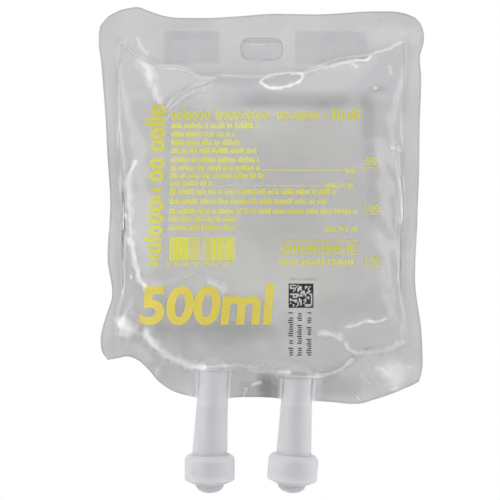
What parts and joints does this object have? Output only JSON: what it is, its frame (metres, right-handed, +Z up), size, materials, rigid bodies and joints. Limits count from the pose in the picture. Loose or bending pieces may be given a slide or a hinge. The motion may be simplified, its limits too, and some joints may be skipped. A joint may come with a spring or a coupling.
{
  "type": "iv fluid bag",
  "caption": "Filled 500 ml infusion bag of clear welded film with a hanger slot, printed front, and frosted port tubes with break-off caps",
  "frame": {"origin": "middle of the hanger slot, on the middle plane between the two films", "axes": "+X to the right of the printed front, -Y out of the printed front, +Z up as the bag hangs"},
  "size_m": [0.1534, 0.049, 0.228],
  "materials": {
    "clear_film": "clear, slightly hazy film with a soft gloss",
    "saline": "clear liquid",
    "frosted_plastic": "frosted, translucent natural plastic",
    "septum_rubber": "matte rubber"
  },
  "bodies": {
    "root": {"front_film": "clear_film", "back_film": "clear_film", "saline_fill": "saline", "port_tube_left": "frosted_plastic", "port_tube_right": "frosted_plastic", "port_cap_left": "frosted_plastic", "port_cap_right": "frosted_plastic", "septum_left": "septum_rubber", "septum_right": "septum_rubber"}
  },
  "joints": []
}
